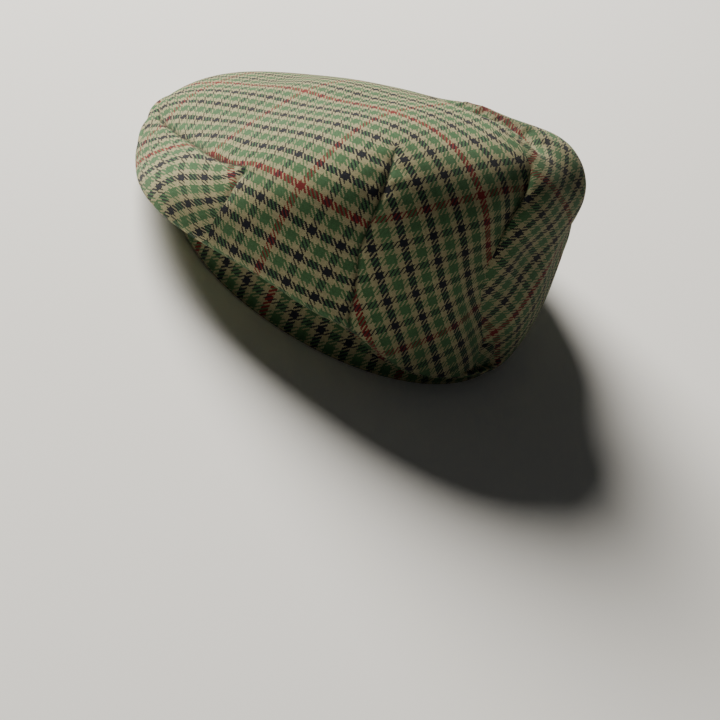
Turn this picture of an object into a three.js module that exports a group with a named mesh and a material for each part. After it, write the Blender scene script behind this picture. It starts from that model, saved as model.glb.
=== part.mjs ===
// Flat cap: a darted cloth crown, the band around the head opening, and a short stiff peak.
// Millimetres. +Z is up, the peak points along -Y and the wearer's left is +X.
// The cap rests on the back half of the band and on the tip of the peak, at z = 0, with the
// origin on the floor below the middle of the whole cap.
import * as THREE from 'three';

const TAU = Math.PI * 2;
const DEG = Math.PI / 180;
const GAP = 0.35; // clear space between two sewn pieces
const OPENING_BACK = 12; // the head opening's middle lies this far behind the origin

// ---- sizes -------------------------------------------------------------------------------

const HEAD = { across: 85, along: 103 }; // half widths of the head opening (a 58 cm head)
const BAND = { wall: 2.5, height: 30, frontHeight: 19, roll: 0.5 };
// The band lies flat behind "flatBehind" and rises by "lift" to its front.
const RIM = { lift: 9.6, flatBehind: 30, run: 133 };

const CROWN = {
  wall: 1.6,
  top: 92, // height of the cloth over the middle of the head
  rake: 0.43, // the top climbs from front to back
  camber: 16.4, // drop of the top 100 mm out to either side
  centreBack: 14, // the middle of the top lies behind the middle of the head
  turn: 2.0, // radius of the fold that tucks under, next to the band
  overlap: 4, // how far the tucked cloth stays below the band's top edge
};

// The cloth from the widest line in to the fold: the shares of the run that are bent in and
// turned round, how far it sags first, and the least height of the hem above the fold.
const UNDER = {
  bend: 0.62,
  turned: 0.86,
  sag: 1.5,
  sagByDrop: 0.45,
  sagByDepth: 0.1,
  ease: 3,
  hem: 1.5,
};

// The crown all round: degrees from the wearer's left towards the back, how far its widest
// line reaches out, the height of that line, how square the shoulder is, and the height of
// the tucked fold beside the band.
const STATIONS = [
  { at: -90, reach: 120, edge: 10.5, square: 3.1, tuck: 13.6 },
  { at: -60, reach: 115.5, edge: 11, square: 2.6, tuck: 13.2 },
  { at: -30, reach: 112.5, edge: 15, square: 2.2, tuck: 11.5 },
  { at: 0, reach: 118, edge: 29, square: 2.5, tuck: 21 },
  { at: 30, reach: 115.5, edge: 37, square: 3.5, tuck: 24 },
  { at: 60, reach: 114, edge: 19, square: 2.9, tuck: 9 },
  { at: 90, reach: 110.5, edge: 12, square: 3.0, tuck: 7 },
  { at: 120, reach: 107, edge: 19, square: 2.9, tuck: 9 },
  { at: 150, reach: 109, edge: 37, square: 3.5, tuck: 24 },
  { at: 180, reach: 117, edge: 29, square: 2.5, tuck: 21 },
  { at: 210, reach: 112.5, edge: 15, square: 2.2, tuck: 11.5 },
  { at: 240, reach: 115.5, edge: 11, square: 2.6, tuck: 13.2 },
];

// Corner darts behind the ears: each runs down one meridian and pulls the cloth in.
const BACK_DARTS = [{ at: 46 }, { at: 134 }];
const BACK_DART = { from: 0.34, depth: 1.1, spread: 1.3, fade: 0.2 };

// Front darts: from the front corner back along the shoulder, as places on the skin.
// "out" is 0 at the middle of the top and 1 at the widest line.
const FRONT_DART = { depth: 1.6, spread: 0.035, fade: 12 };
const FRONT_DART_RUN = [
  { at: -48, out: 0.78 },
  { at: -38, out: 0.69 },
  { at: -25, out: 0.63 },
  { at: -15, out: 0.6 },
  { at: -3, out: 0.58 },
  { at: 8, out: 0.57 },
];

// The fold that the loose cloth makes down the back, from the shoulder to the tuck, with a
// lip raised beside it.
const FOLD = {
  depth: 6.5,
  spread: 15,
  grow: 0.3,
  end: 0.9,
  shrink: 0.12,
  lip: 0.35,
  lipAt: 18,
};
const FOLD_RUN = [
  { out: 0.4, at: 88 },
  { out: 0.51, at: 84 },
  { out: 0.6, at: 81 },
  { out: 0.7, at: 77 },
  { out: 0.78, at: 73.5 },
  { out: 0.86, at: 77 },
  { out: 0.93, at: 83 },
  { out: 1.0, at: 88 },
];

const PEAK = {
  thick: 3,
  reach: 29, // how far the middle of the peak stands out from the band
  slope: 0.36, // it falls this much for each unit outwards
  rise: 0.5, // its root lies this far above the band's lower edge
  halfAngle: 48, // the root covers this much of the rim to each side of the front
  corner: 1.2, // what is left of its reach at the two ends
  fullness: 1.2, // how quickly the reach falls off towards the ends
  edge: 0.9, // rounding of the outer edge
};

const SHADES = {
  crown: { color: 0x6e7552, roughness: 0.9 },
  band: { color: 0x5c6346, roughness: 0.92 },
  peak: { color: 0x667050, roughness: 0.9 },
};

// How finely the pieces are faceted: columns around, columns beside a back dart (degrees off
// its line), and the rows of the crown's skin from the middle of the top to the hem.
const MESH = { around: 72, bandAround: 72, peakAround: 30 };
const BESIDE_DART = [-2.6, -1.3, 0, 1.3, 2.6];
const ROWS_TOP = [
  0.02, 0.1, 0.2, 0.3, 0.38, 0.46, 0.52, 0.58, 0.64, 0.7, 0.76, 0.82, 0.88, 0.94, 1,
];
const ROWS_UNDER = [1.14, 1.3, 1.46, 1.62, 1.7, 1.78, 1.86, 2];

// Steps over which the slope of the skin is measured.
const SLOPE_STEP = { out: 0.004, degrees: 0.4 };

// ---- small helpers -----------------------------------------------------------------------

const clamp = (v, lo, hi) => Math.min(hi, Math.max(lo, v));

function smooth(v) {
  const k = clamp(v, 0, 1);
  return k * k * (3 - 2 * k);
}

// A smooth bump, 1 at zero and 0 from "spread" outwards.
function bump(distance, spread) {
  const k = clamp(1 - Math.abs(distance) / spread, 0, 1);
  return k * k * (3 - 2 * k);
}

function angleBetween(a, b) {
  let d = (a - b) % 360;
  if (d > 180) d -= 360;
  if (d < -180) d += 360;
  return d;
}

// Smooth curve through four evenly spaced values, between the middle two.
function throughFour(a, b, c, d, k) {
  const slopeB = (c - a) / 2;
  const slopeC = (d - b) / 2;
  const k2 = k * k;
  const k3 = k2 * k;
  return (2 * k3 - 3 * k2 + 1) * b + (k3 - 2 * k2 + k) * slopeB
    + (3 * k2 - 2 * k3) * c + (k3 - k2) * slopeC;
}

// One column of the crown's station table at any angle.
function station(column, degrees) {
  const step = 360 / STATIONS.length;
  const place = (((degrees - STATIONS[0].at) % 360) + 360) % 360 / step;
  const i = Math.floor(place);
  const pick = (n) => STATIONS[(n + STATIONS.length) % STATIONS.length][column];
  return throughFour(pick(i - 1), pick(i), pick(i + 1), pick(i + 2), place - i);
}

// A table's column "wanted" at a value of its column "key", straight between the rows.
function along(table, key, wanted, value) {
  const last = table.length - 1;
  if (value <= table[0][key]) return table[0][wanted];
  if (value >= table[last][key]) return table[last][wanted];
  const i = table.findIndex((row) => row[key] > value);
  const k = (value - table[i - 1][key]) / (table[i][key] - table[i - 1][key]);
  return table[i - 1][wanted] + k * (table[i][wanted] - table[i - 1][wanted]);
}

// ---- the rim -----------------------------------------------------------------------------

// Distance from the middle to the head opening's oval, "grown" outwards, at an angle.
function ovalRadius(degrees, grown) {
  const c = Math.cos(degrees * DEG) / (HEAD.across + grown);
  const s = Math.sin(degrees * DEG) / (HEAD.along + grown);
  return 1 / Math.hypot(c, s);
}

// 0 along the back half of the rim, climbing to 1 at its front.
function frontShare(degrees) {
  const y = HEAD.along * Math.sin(degrees * DEG);
  return smooth((RIM.flatBehind - y) / RIM.run);
}

function rimHeight(degrees) {
  return RIM.lift * frontShare(degrees);
}

function bandHeight(degrees) {
  return BAND.height + (BAND.frontHeight - BAND.height) * frontShare(degrees);
}

// ---- the crown's skin --------------------------------------------------------------------

// The plain skin of the crown: "out" runs from 0 in the middle of the top to 1 on the
// widest line, then on to 2 down and under to the fold and up beside the band.
function plainSkin(degrees, out) {
  const c = Math.cos(degrees * DEG);
  const s = Math.sin(degrees * DEG);
  const reach = station('reach', degrees);
  const edge = station('edge', degrees);
  if (out <= 1) {
    const power = 2 / station('square', degrees);
    const lean = (1 - out) * Math.PI / 2;
    const rho = Math.pow(Math.cos(lean), power);
    const high = Math.pow(Math.sin(lean), power);
    const x = rho * reach * c;
    const y = CROWN.centreBack * (1 - rho) + rho * reach * s;
    const lid = CROWN.top + CROWN.rake * y - CROWN.camber * (x / 100) ** 2;
    return new THREE.Vector3(x, y, edge + (lid - edge) * high);
  }
  const [r, z] = tuckedUnder(degrees, out - 1, reach, edge);
  return new THREE.Vector3(r * c, r * s, z);
}

// The cloth below the widest line: it swings in to a small fold beside the band, and
// stands up inside it. Returns the distance from the middle and the height.
function tuckedUnder(degrees, k, reach, edge) {
  const tuck = station('tuck', degrees);
  const beside = ovalRadius(degrees, BAND.wall) + GAP;
  const turn = CROWN.turn;
  const foldOut = beside + 2 * turn;
  if (k <= UNDER.bend) {
    const m = k / UNDER.bend;
    const n = 1 - m;
    const drop = UNDER.sag + UNDER.sagByDrop * Math.max(edge - tuck, 0)
      + UNDER.sagByDepth * (reach - foldOut);
    const [first, second, third, fourth] = [n ** 3, 3 * n * n * m, 3 * n * m * m, m ** 3];
    const r = (first + second) * reach + (third + fourth) * foldOut;
    const z = first * edge + second * (edge - drop)
      + third * (tuck + turn + UNDER.ease) + fourth * (tuck + turn);
    return [r, z];
  }
  if (k <= UNDER.turned) {
    const a = (k - UNDER.bend) / (UNDER.turned - UNDER.bend) * Math.PI;
    return [beside + turn + turn * Math.cos(a), tuck + turn - turn * Math.sin(a)];
  }
  const up = (k - UNDER.turned) / (1 - UNDER.turned);
  const end = rimHeight(degrees) + bandHeight(degrees) - CROWN.overlap;
  return [beside, tuck + turn + up * Math.max(end - tuck - turn, UNDER.hem)];
}

// How far the cloth is pulled in (negative) or pushed out at a place on the skin.
function relief(degrees, out) {
  let depth = 0;
  const grown = smooth((out - BACK_DART.from) / BACK_DART.fade)
    * (1 - smooth((out - 1) / BACK_DART.fade));
  for (const dart of BACK_DARTS) {
    depth -= BACK_DART.depth * grown * bump(angleBetween(degrees, dart.at), 2 * BACK_DART.spread);
  }
  for (const side of [degrees, 180 - degrees]) {
    const at = angleBetween(side, 0);
    const first = FRONT_DART_RUN[0].at;
    const last = FRONT_DART_RUN[FRONT_DART_RUN.length - 1].at;
    const run = along(FRONT_DART_RUN, 'at', 'out', at);
    const fade = smooth((at - first) / FRONT_DART.fade + 1)
      * smooth((last - at) / FRONT_DART.fade);
    depth -= FRONT_DART.depth * fade * bump(out - run, 2 * FRONT_DART.spread);
  }
  const off = angleBetween(degrees, along(FOLD_RUN, 'out', 'at', out));
  const deep = FOLD.depth * smooth((out - FOLD_RUN[0].out) / FOLD.grow)
    * (1 - smooth((out - FOLD.end) / FOLD.shrink));
  depth -= deep * bump(off, FOLD.spread);
  depth += deep * FOLD.lip * bump(off - FOLD.lipAt, FOLD.spread);
  return depth;
}

// A place on the skin, "inset" below its outer face.
function skin(degrees, out, inset) {
  const here = plainSkin(degrees, out);
  const outward = new THREE.Vector3(0, -CROWN.rake, 1);
  if (out > SLOPE_STEP.out) {
    const before = plainSkin(degrees, out - SLOPE_STEP.out);
    const down = plainSkin(degrees, Math.min(out + SLOPE_STEP.out, 2)).sub(before);
    const left = plainSkin(degrees - SLOPE_STEP.degrees, out);
    const round = plainSkin(degrees + SLOPE_STEP.degrees, out).sub(left);
    outward.copy(down.cross(round));
  }
  outward.normalize();
  return here.addScaledVector(outward, relief(degrees, out) - inset);
}

// ---- meshes ------------------------------------------------------------------------------

function solid(name, points, faces) {
  const geometry = new THREE.BufferGeometry();
  geometry.setAttribute('position', new THREE.Float32BufferAttribute(points.flat(), 3));
  geometry.setIndex(faces.flat());
  geometry.computeVertexNormals();
  const shade = SHADES[name];
  const material = new THREE.MeshStandardMaterial({ ...shade, metalness: 0 });
  const mesh = new THREE.Mesh(geometry, material);
  mesh.name = name;
  return mesh;
}

// A ring swept round the middle: "profileAt" gives the closed section at each angle.
function ringSolid(name, angles, profileAt) {
  const points = [];
  const faces = [];
  const count = profileAt(angles[0]).length;
  for (const degrees of angles) points.push(...profileAt(degrees));
  for (let i = 0; i < angles.length; i += 1) {
    const next = (i + 1) % angles.length;
    for (let j = 0; j < count; j += 1) {
      const k = (j + 1) % count;
      const [a, b, c, d] = [i * count + j, i * count + k, next * count + k, next * count + j];
      faces.push([a, c, b], [a, d, c]);
    }
  }
  return solid(name, points, faces);
}

function makeBand() {
  const angles = [];
  for (let i = 0; i < MESH.bandAround; i += 1) angles.push(i * 360 / MESH.bandAround);
  const { wall, roll } = BAND;
  return ringSolid('band', angles, (degrees) => {
    const height = bandHeight(degrees);
    const section = [
      [0, roll], [roll, 0], [wall - roll, 0], [wall, roll],
      [wall, height - roll], [wall - roll, height], [roll, height], [0, height - roll],
    ];
    return section.map(([grown, up]) => {
      const r = ovalRadius(degrees, grown);
      const z = rimHeight(degrees) + up;
      return [r * Math.cos(degrees * DEG), r * Math.sin(degrees * DEG), z];
    });
  });
}

// The angles of the crown's columns: even steps, with more beside the back darts.
function crownAngles() {
  const angles = [];
  const step = 360 / MESH.around;
  for (let i = 0; i < MESH.around; i += 1) {
    const at = i * step;
    const dart = BACK_DARTS.find((d) => Math.abs(angleBetween(at, d.at)) < step / 2);
    if (dart) angles.push(...BESIDE_DART.map((off) => dart.at + off));
    else angles.push(at);
  }
  return angles;
}

function makeCrown() {
  const angles = crownAngles();
  const rows = [...ROWS_TOP, ...ROWS_UNDER];
  const points = [];
  const faces = [];
  const wide = angles.length;
  for (const inset of [0, CROWN.wall]) {
    for (const out of rows) {
      for (const degrees of angles) points.push(skin(degrees, out, inset).toArray());
    }
    points.push(skin(0, 0, inset).toArray());
  }
  const layer = rows.length * wide + 1;
  const quad = (a, b, c, d) => faces.push([a, b, c], [a, c, d]);
  for (let i = 0; i < wide; i += 1) {
    const n = (i + 1) % wide;
    faces.push([layer - 1, i, n]);
    faces.push([2 * layer - 1, layer + n, layer + i]);
    for (let j = 0; j + 1 < rows.length; j += 1) {
      const a = j * wide;
      const b = (j + 1) * wide;
      quad(a + i, b + i, b + n, a + n);
      quad(layer + a + n, layer + b + n, layer + b + i, layer + a + i);
    }
    const hem = (rows.length - 1) * wide;
    quad(hem + i, layer + hem + i, layer + hem + n, hem + n);
  }
  return solid('crown', points, faces);
}

// The peak's section at an angle from the front: root, top, rounded outer edge, underside.
function peakSection(turn) {
  const degrees = -90 + turn;
  const share = Math.cos(turn / PEAK.halfAngle * Math.PI / 2) ** PEAK.fullness;
  const root = ovalRadius(degrees, BAND.wall) + GAP;
  const reach = PEAK.corner + (PEAK.reach - PEAK.corner) * share;
  const base = rimHeight(degrees) + PEAK.rise;
  const height = (d) => base - PEAK.slope * d;
  const e = PEAK.edge;
  const marks = [
    [0, 0], [reach / 2, 0], [reach - e, 0], [reach, e], [reach, PEAK.thick - e],
    [reach - e, PEAK.thick], [reach / 2, PEAK.thick], [0, PEAK.thick],
  ];
  return marks.map(([d, up]) => {
    const r = root + d;
    const z = Math.max(height(d), 0) + up;
    return [r * Math.cos(degrees * DEG), r * Math.sin(degrees * DEG), z];
  });
}

function makePeak() {
  const points = [];
  const faces = [];
  const steps = MESH.peakAround;
  let count = 0;
  for (let i = 0; i <= steps; i += 1) {
    const section = peakSection((i / steps * 2 - 1) * PEAK.halfAngle);
    count = section.length;
    points.push(...section);
  }
  for (let i = 0; i < steps; i += 1) {
    for (let j = 0; j < count; j += 1) {
      const k = (j + 1) % count;
      const [a, b, c, d] = [i * count + j, i * count + k, (i + 1) * count + k, (i + 1) * count + j];
      faces.push([a, c, b], [a, d, c]);
    }
  }
  for (let j = 1; j + 1 < count; j += 1) {
    const end = steps * count;
    faces.push([0, j, j + 1], [end, end + j + 1, end + j]);
  }
  return solid('peak', points, faces);
}

// ---- the cap -----------------------------------------------------------------------------

const cap = new THREE.Group();
cap.name = 'flat_cap';
cap.position.y = OPENING_BACK;
cap.add(makeCrown(), makeBand(), makePeak());

export default cap;
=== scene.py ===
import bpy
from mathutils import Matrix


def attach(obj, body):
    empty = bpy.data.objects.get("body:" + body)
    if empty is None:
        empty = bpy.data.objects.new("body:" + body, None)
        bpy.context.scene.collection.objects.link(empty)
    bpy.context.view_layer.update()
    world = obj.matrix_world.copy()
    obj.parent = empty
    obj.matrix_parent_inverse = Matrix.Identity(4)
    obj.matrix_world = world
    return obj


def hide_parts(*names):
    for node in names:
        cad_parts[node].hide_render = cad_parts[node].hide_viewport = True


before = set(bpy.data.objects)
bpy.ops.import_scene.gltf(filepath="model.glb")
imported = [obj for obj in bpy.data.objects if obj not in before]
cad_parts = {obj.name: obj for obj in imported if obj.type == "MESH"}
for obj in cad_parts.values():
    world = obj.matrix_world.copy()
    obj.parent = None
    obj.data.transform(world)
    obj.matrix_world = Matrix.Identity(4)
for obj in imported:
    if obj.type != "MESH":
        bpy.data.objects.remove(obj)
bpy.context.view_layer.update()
"""A check wool flat cap: darted crown, plain band, short peak, on a pale studio floor.

Lengths inside the form classes are millimetres in the cap's own frame, where the middle of
the head opening is the origin; `to_row` turns them into the row frame's metres.
"""
import logging
import math
from dataclasses import dataclass, field
from enum import Enum
from typing import Callable, Sequence

import bpy
import numpy as np
from mathutils import Matrix, Vector

LOG = logging.getLogger("flat_cap")
Array = np.ndarray
MM = 0.001
OPENING_BACK = 12.0
ROUND = math.radians(110.0)  # millimetres round the crown's shoulder for one degree
DOWN = 105.0  # millimetres from the middle of the top to the widest line, "out" 0 to 1


def to_row(points: Array) -> Array:
    """Millimetres round the head opening's middle, as metres in the row frame.

    Args:
        points: Places, last axis x, y, z.

    Returns:
        The same places in metres, moved back by the head opening's distance.
    """
    return (points + np.array([0.0, OPENING_BACK, 0.0])) * MM


def smooth(value: Array) -> Array:
    """Ease from 0 to 1: k squared times (3 - 2k), with k the value held between 0 and 1."""
    k = np.clip(value, 0.0, 1.0)
    return k * k * (3.0 - 2.0 * k)


def bump(distance: Array, spread: float) -> Array:
    """A smooth bump, 1 at distance 0 and 0 from the spread outwards."""
    return smooth(1.0 - np.abs(distance) / spread)


def bell(distance: Array, width: float) -> Array:
    """A bell curve: e to the power of minus (distance / width) squared."""
    return np.exp(-((distance / width) ** 2))


def turn_between(first: Array, second: Array) -> Array:
    """The angle from second to first in degrees, between -180 and 180."""
    return (first - second + 180.0) % 360.0 - 180.0


# ---- forms -----------------------------------------------------------------------------


@dataclass(frozen=True)
class Opening:
    """The oval of the head opening, and how its rim climbs towards the peak."""

    across: float = 85.0
    along: float = 103.0
    lift: float = 9.6
    flat_behind: float = 30.0
    run: float = 133.0

    def radius(self, degrees: Array, grown: float | Array) -> Array:
        """Distance from the middle to the oval grown outwards: 1 / |(cos / a, sin / b)|.

        Args:
            degrees: Angles round the opening.
            grown: How far both half widths are grown.

        Returns:
            The distances.
        """
        c = np.cos(np.radians(degrees)) / (self.across + grown)
        s = np.sin(np.radians(degrees)) / (self.along + grown)
        return 1.0 / np.hypot(c, s)

    def front_share(self, degrees: Array) -> Array:
        """0 along the back half of the rim, easing to 1 at its front."""
        y = self.along * np.sin(np.radians(degrees))
        return smooth((self.flat_behind - y) / self.run)

    def rim(self, degrees: Array) -> Array:
        """Height of the rim's lower edge."""
        return self.lift * self.front_share(degrees)


@dataclass(frozen=True)
class Path:
    """A seam or crease drawn on the crown, as matching lists of two of its measures."""

    key: tuple[float, ...]
    value: tuple[float, ...]

    def at(self, key: Array) -> Array:
        """The value at a key, straight between the listed ones."""
        return np.interp(key, self.key, self.value)


@dataclass(frozen=True)
class Reach:
    """Where something begins and ends, easing in over a rise and out over a fall."""

    start: float
    rise: float
    end: float
    fall: float

    def share(self, place: Array) -> Array:
        """0 before it, 1 along it and 0 after it."""
        return smooth((place - self.start) / self.rise) * (1 - smooth((place - self.end) / self.fall))


@dataclass(frozen=True)
class Groove:
    """A sewn line's mark: a narrow groove, a shallow trough round it, and its puckers."""

    depth: float
    width: float
    trough: float
    trough_width: float
    pucker: float = 0.0
    pucker_off: float = 0.0
    waves: tuple[float, float] = (0.0, 0.0)
    pucker_width: float = 6.0

    def at(self, off: Array, along: Array) -> Array:
        """Its height: two bells across the line, and a sine along each side of it.

        Args:
            off: Distances from the line, below 0 on its second side.
            along: Places along the line.

        Returns:
            Heights in millimetres, below 0 in the groove.
        """
        sides = zip((1.0, -1.0), self.waves)
        ripple = sum(np.sin(along * wave) * bell(off - side * self.pucker_off, self.pucker_width)
                     for side, wave in sides)
        sunk = self.depth * bell(off, self.width) + self.trough * bell(off, self.trough_width)
        return self.pucker * ripple - sunk


@dataclass(frozen=True)
class Dent:
    """A broad round hollow, or swell where its height is above 0, pressed into the cloth."""

    x: float
    y: float
    z: float
    spread: float
    height: float

    def at(self, places: Array) -> Array:
        """Its height at places: a bell of the distance from its middle."""
        middle = np.array([self.x, self.y, self.z])
        return self.height * bell(np.linalg.norm(places - middle, axis=-1), self.spread)


DENTS = tuple(Dent(*row) for row in (
    # x, y, z, spread, height, in millimetres
    (-52, 90, 66, 27, -5.6),    # below the back's right corner
    (-36, 47, 107, 30, -4.2),   # the shoulder beside the crease
    (-28, 86, 97, 17, 0.8),     # the lapping side, swelling over the dents round it
    (-46, 81, 91, 19, 5.2),
    (-42, 62, 103, 20, 6.5),
    (-76, 58, 93, 30, -8.0),    # the back's right corner, gathered in by the crease
    (-4, 106, 72, 18, -5.0),    # the lapping side's middle, drawn flat
    (18, 106, 72, 16, 2.5),     # the crease's lip
    (95, -58, 22, 34, -2.6),    # the front's left
    (74, -80, 24, 18, -2.2),
    (18, -78, 50, 30, -2.0),    # the front's top
    (14, -66, 59, 17, -1.2),
))


@dataclass(frozen=True)
class CrownForm:
    """The crown's skin: where every place on the cloth lies.

    A place is an angle from the wearer's left towards the back, and "out": 0 in the middle
    of the top, 1 on the widest line, 2 at the hem beside the band. The station columns go
    round the cap from its front: how far the widest line reaches out, its height, how
    square the shoulder is, and the height of the tucked fold.
    """

    opening: Opening = Opening()
    wall: float = 1.6
    top: float = 92.0
    rake: float = 0.43
    camber: float = 16.4
    centre_back: float = 14.0
    reach: tuple[float, ...] = (120, 115.5, 112.5, 118, 115.5, 114, 110.5, 107, 109, 117, 112.5, 115.5)
    edge: tuple[float, ...] = (10.5, 11, 15, 29, 37, 19, 12, 19, 37, 29, 15, 11)
    square: tuple[float, ...] = (3.1, 2.6, 2.2, 2.5, 3.5, 2.9, 3.0, 2.9, 3.5, 2.5, 2.2, 2.6)
    tuck: tuple[float, ...] = (13.6, 13.2, 11.5, 21, 24, 9, 7, 9, 24, 21, 11.5, 13.2)
    first_station: float = -90.0
    # under the widest line: the sag, the fold round its radius, and the rise beside the band
    sag: float = 1.5
    sag_by_drop: float = 0.45
    sag_by_depth: float = 0.1
    ease: float = 3.0
    bend: float = 0.62
    turned: float = 0.86
    turn: float = 2.0
    least_hem: float = 1.5
    overlap: float = 4.0
    gap: float = 0.35
    band_wall: float = 2.5
    band_heights: tuple[float, float] = (30.0, 19.0)
    # the lower edge, hitched up at the feet of the back darts
    hitch: float = 8.5
    tuck_hitch: float = 6.375
    hitch_at: float = 53.0
    hitch_spread: float = 11.5
    # the darts behind the ears
    back_dart_column: float = 44.0
    back_dart: Path = Path((0.34, 0.49, 0.61, 0.86, 0.95, 1.0, 1.1), (41, 43, 44, 45, 47.5, 49.5, 51))
    back_dart_reach: Reach = Reach(0.34, 0.12, 1.0, 0.3)
    back_dart_groove: Groove = Groove(1.3, 1.5, 0.9, 8.0, 0.22, 5.0, (62.0, 55.0))
    # the darts along the shoulders from the front corners, and their drops to the hem
    front_dart_row: float = 0.62
    front_dart_ends: tuple[float, float] = (-51.0, 9.5)
    front_dart: Path = Path((-60, -51, -46, -38, -25, -15, -3, 8, 20),
                            (0.88, 0.825, 0.765, 0.69, 0.632, 0.612, 0.607, 0.605, 0.605))
    front_dart_reach: Reach = Reach(-63.0, 12.0, -2.5, 14.0)
    front_dart_groove: Groove = Groove(1.4, 1.6, 1.0, 8.0, 0.2, 6.0, (1.1, -1.1))
    front_drop: Path = Path((0.6, 0.65, 0.8, 0.9, 1.1), (9.5, 10.2, 12.6, 13.2, 14.0))
    front_drop_reach: Reach = Reach(0.6, 0.04, 0.76, 0.16)
    front_drop_groove: Groove = Groove(1.0, 1.5, 0.9, 9.0)
    # the crease down the back, whose right side laps over its left, and the valley below it
    crease_column: float = 82.0
    crease: Path = Path((0.1, 0.25, 0.43, 0.55, 0.62, 0.7, 0.78, 0.85, 0.9, 0.95, 1.0),
                        (94, 90, 88.5, 85, 82, 79.3, 77, 78.4, 81.5, 86, 93))
    crease_from: float = 0.25
    lap_reach: Reach = Reach(0.36, 0.2, 0.58, 0.3)
    lap_depth: Path = Path((0, 1.2, 2.4, 3.4, 4.4, 5.6, 7.4, 10, 16, 26, 44),
                           (-3.4, -2.9, -2.2, -1.2, -0.2, 0.6, 1.3, 1.9, 2.1, 1.4, 0))
    lap_side: Path = Path((0, 1.2, 2.4, 3.4, 4.4, 5.6, 7.4, 10, 16, 26, 44),
                          (3, 1.7, 0.5, 0, 0.3, 1.4, 3.5, 7, 14, 25, 44))
    lap_under: float = 15.0
    valley: float = 3.4
    valley_reach: Reach = Reach(0.5, 0.25, 0.98, 0.2)
    valley_widths: tuple[float, float] = (12.0, 15.0)
    # the ridge over the top and the crumpled hollow beside it
    ridge: Path = Path((-20, 6, 30, 45, 60, 78), (-16, -8, -4, -3, -5, -8))
    ridge_depth: Path = Path((-44, -34, -27, -22, -17, -12, -8, -5, -2.5, 0, 3, 8, 16),
                             (0, 0.7, 1.9, 1.9, -1.0, -5.0, -6.6, -5.8, -1.6, 1.1, 1.4, 0.7, 0))
    hollow_front: float = -4.0
    hollow_rise: float = 30.0
    hollow_reach: Reach = Reach(-1.0, 1.0, 0.2, 0.22)
    hollow_above: float = 60.0
    crumples: tuple[tuple[float, float, float], ...] = ((0.6, 0.62, 0.0), (0.45, 1.07, 1.0))
    crumple_off: float = -19.0
    crumple_width: float = 4.5

    def station(self, column: Sequence[float], degrees: Array) -> Array:
        """A station column at any angle, on a smooth closed curve through its values.

        Cubic Hermite pieces: the slope at each station is half the difference of its two
        neighbours.

        Args:
            column: The values at the stations.
            degrees: Angles round the cap.

        Returns:
            The values at the angles.
        """
        table = np.asarray(column, dtype=float)
        count = len(table)
        place = ((degrees - self.first_station) % 360.0) / (360.0 / count)
        i = np.floor(place).astype(int)
        k = place - i
        a, b, c, d = (table[(i + n) % count] for n in (-1, 0, 1, 2))
        k2, k3 = k * k, k * k * k
        return ((2 * k3 - 3 * k2 + 1) * b + (k3 - 2 * k2 + k) * (c - a) / 2
                + (3 * k2 - 2 * k3) * c + (k3 - k2) * (d - b) / 2)

    def hitched(self, degrees: Array) -> Array:
        """How far the lower edge is hitched up: a bell round the foot of each back dart."""
        feet = (self.hitch_at, 180.0 - self.hitch_at)
        return sum(bell(turn_between(degrees, foot), self.hitch_spread) for foot in feet)

    def plain(self, degrees: Array, out: Array) -> Array:
        """The skin without its darts and creases.

        Above the widest line it is a rounded lid: with lean going from a right angle to 0,
        the distance out is cos(lean) and the height sin(lean), both to the power 2 / square.

        Args:
            degrees: Angles round the cap.
            out: Places between the middle of the top, 0, and the hem, 2.

        Returns:
            Places in millimetres, last axis x, y, z.
        """
        c, s = np.cos(np.radians(degrees)), np.sin(np.radians(degrees))
        reach = self.station(self.reach, degrees)
        edge = self.station(self.edge, degrees) + self.hitch * self.hitched(degrees)
        power = 2.0 / self.station(self.square, degrees)
        lean = (1.0 - np.clip(out, 0.0, 1.0)) * math.pi / 2
        rho = np.cos(lean).clip(0.0) ** power
        high = np.sin(lean).clip(0.0) ** power
        x = rho * reach * c
        y = self.centre_back * (1.0 - rho) + rho * reach * s
        lid = self.top + self.rake * y - self.camber * (x / 100.0) ** 2
        above = np.stack([x, y, edge + (lid - edge) * high], axis=-1)
        radius, height = self.under(degrees, np.clip(out - 1.0, 0.0, 1.0), reach, edge)
        below = np.stack([radius * c, radius * s, height], axis=-1)
        return np.where((out <= 1.0)[..., None], above, below)

    def under(self, degrees: Array, k: Array, reach: Array, edge: Array) -> tuple[Array, Array]:
        """The cloth below the widest line.

        It follows a sagging cubic curve in to the fold, half a circle round it and a
        straight rise beside the band.

        Args:
            degrees: Angles round the cap.
            k: Places between the widest line, 0, and the hem, 1.
            reach: How far the widest line reaches out.
            edge: Its height.

        Returns:
            The distance out and the height.
        """
        tuck = self.station(self.tuck, degrees) + self.tuck_hitch * self.hitched(degrees)
        beside = self.opening.radius(degrees, self.band_wall) + self.gap
        fold = beside + 2.0 * self.turn
        m = np.clip(k / self.bend, 0.0, 1.0)
        n = 1.0 - m
        drop = self.sag + self.sag_by_drop * np.maximum(edge - tuck, 0.0)
        drop = drop + self.sag_by_depth * (reach - fold)
        weights = (n ** 3, 3 * n * n * m, 3 * n * m * m, m ** 3)
        heights = (edge, edge - drop, tuck + self.turn + self.ease, tuck + self.turn)
        r1 = (weights[0] + weights[1]) * reach + (weights[2] + weights[3]) * fold
        z1 = sum(weight * height for weight, height in zip(weights, heights))
        a = np.clip((k - self.bend) / (self.turned - self.bend), 0.0, 1.0) * math.pi
        r2 = beside + self.turn + self.turn * np.cos(a)
        z2 = tuck + self.turn - self.turn * np.sin(a)
        up = np.clip((k - self.turned) / (1.0 - self.turned), 0.0, 1.0)
        high, low = self.band_heights
        band_top = self.opening.rim(degrees) + high + (low - high) * self.opening.front_share(degrees)
        end = band_top - self.overlap
        z3 = tuck + self.turn + up * np.maximum(end - tuck - self.turn, self.least_hem)
        bent, round_ = k <= self.bend, k <= self.turned
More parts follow.
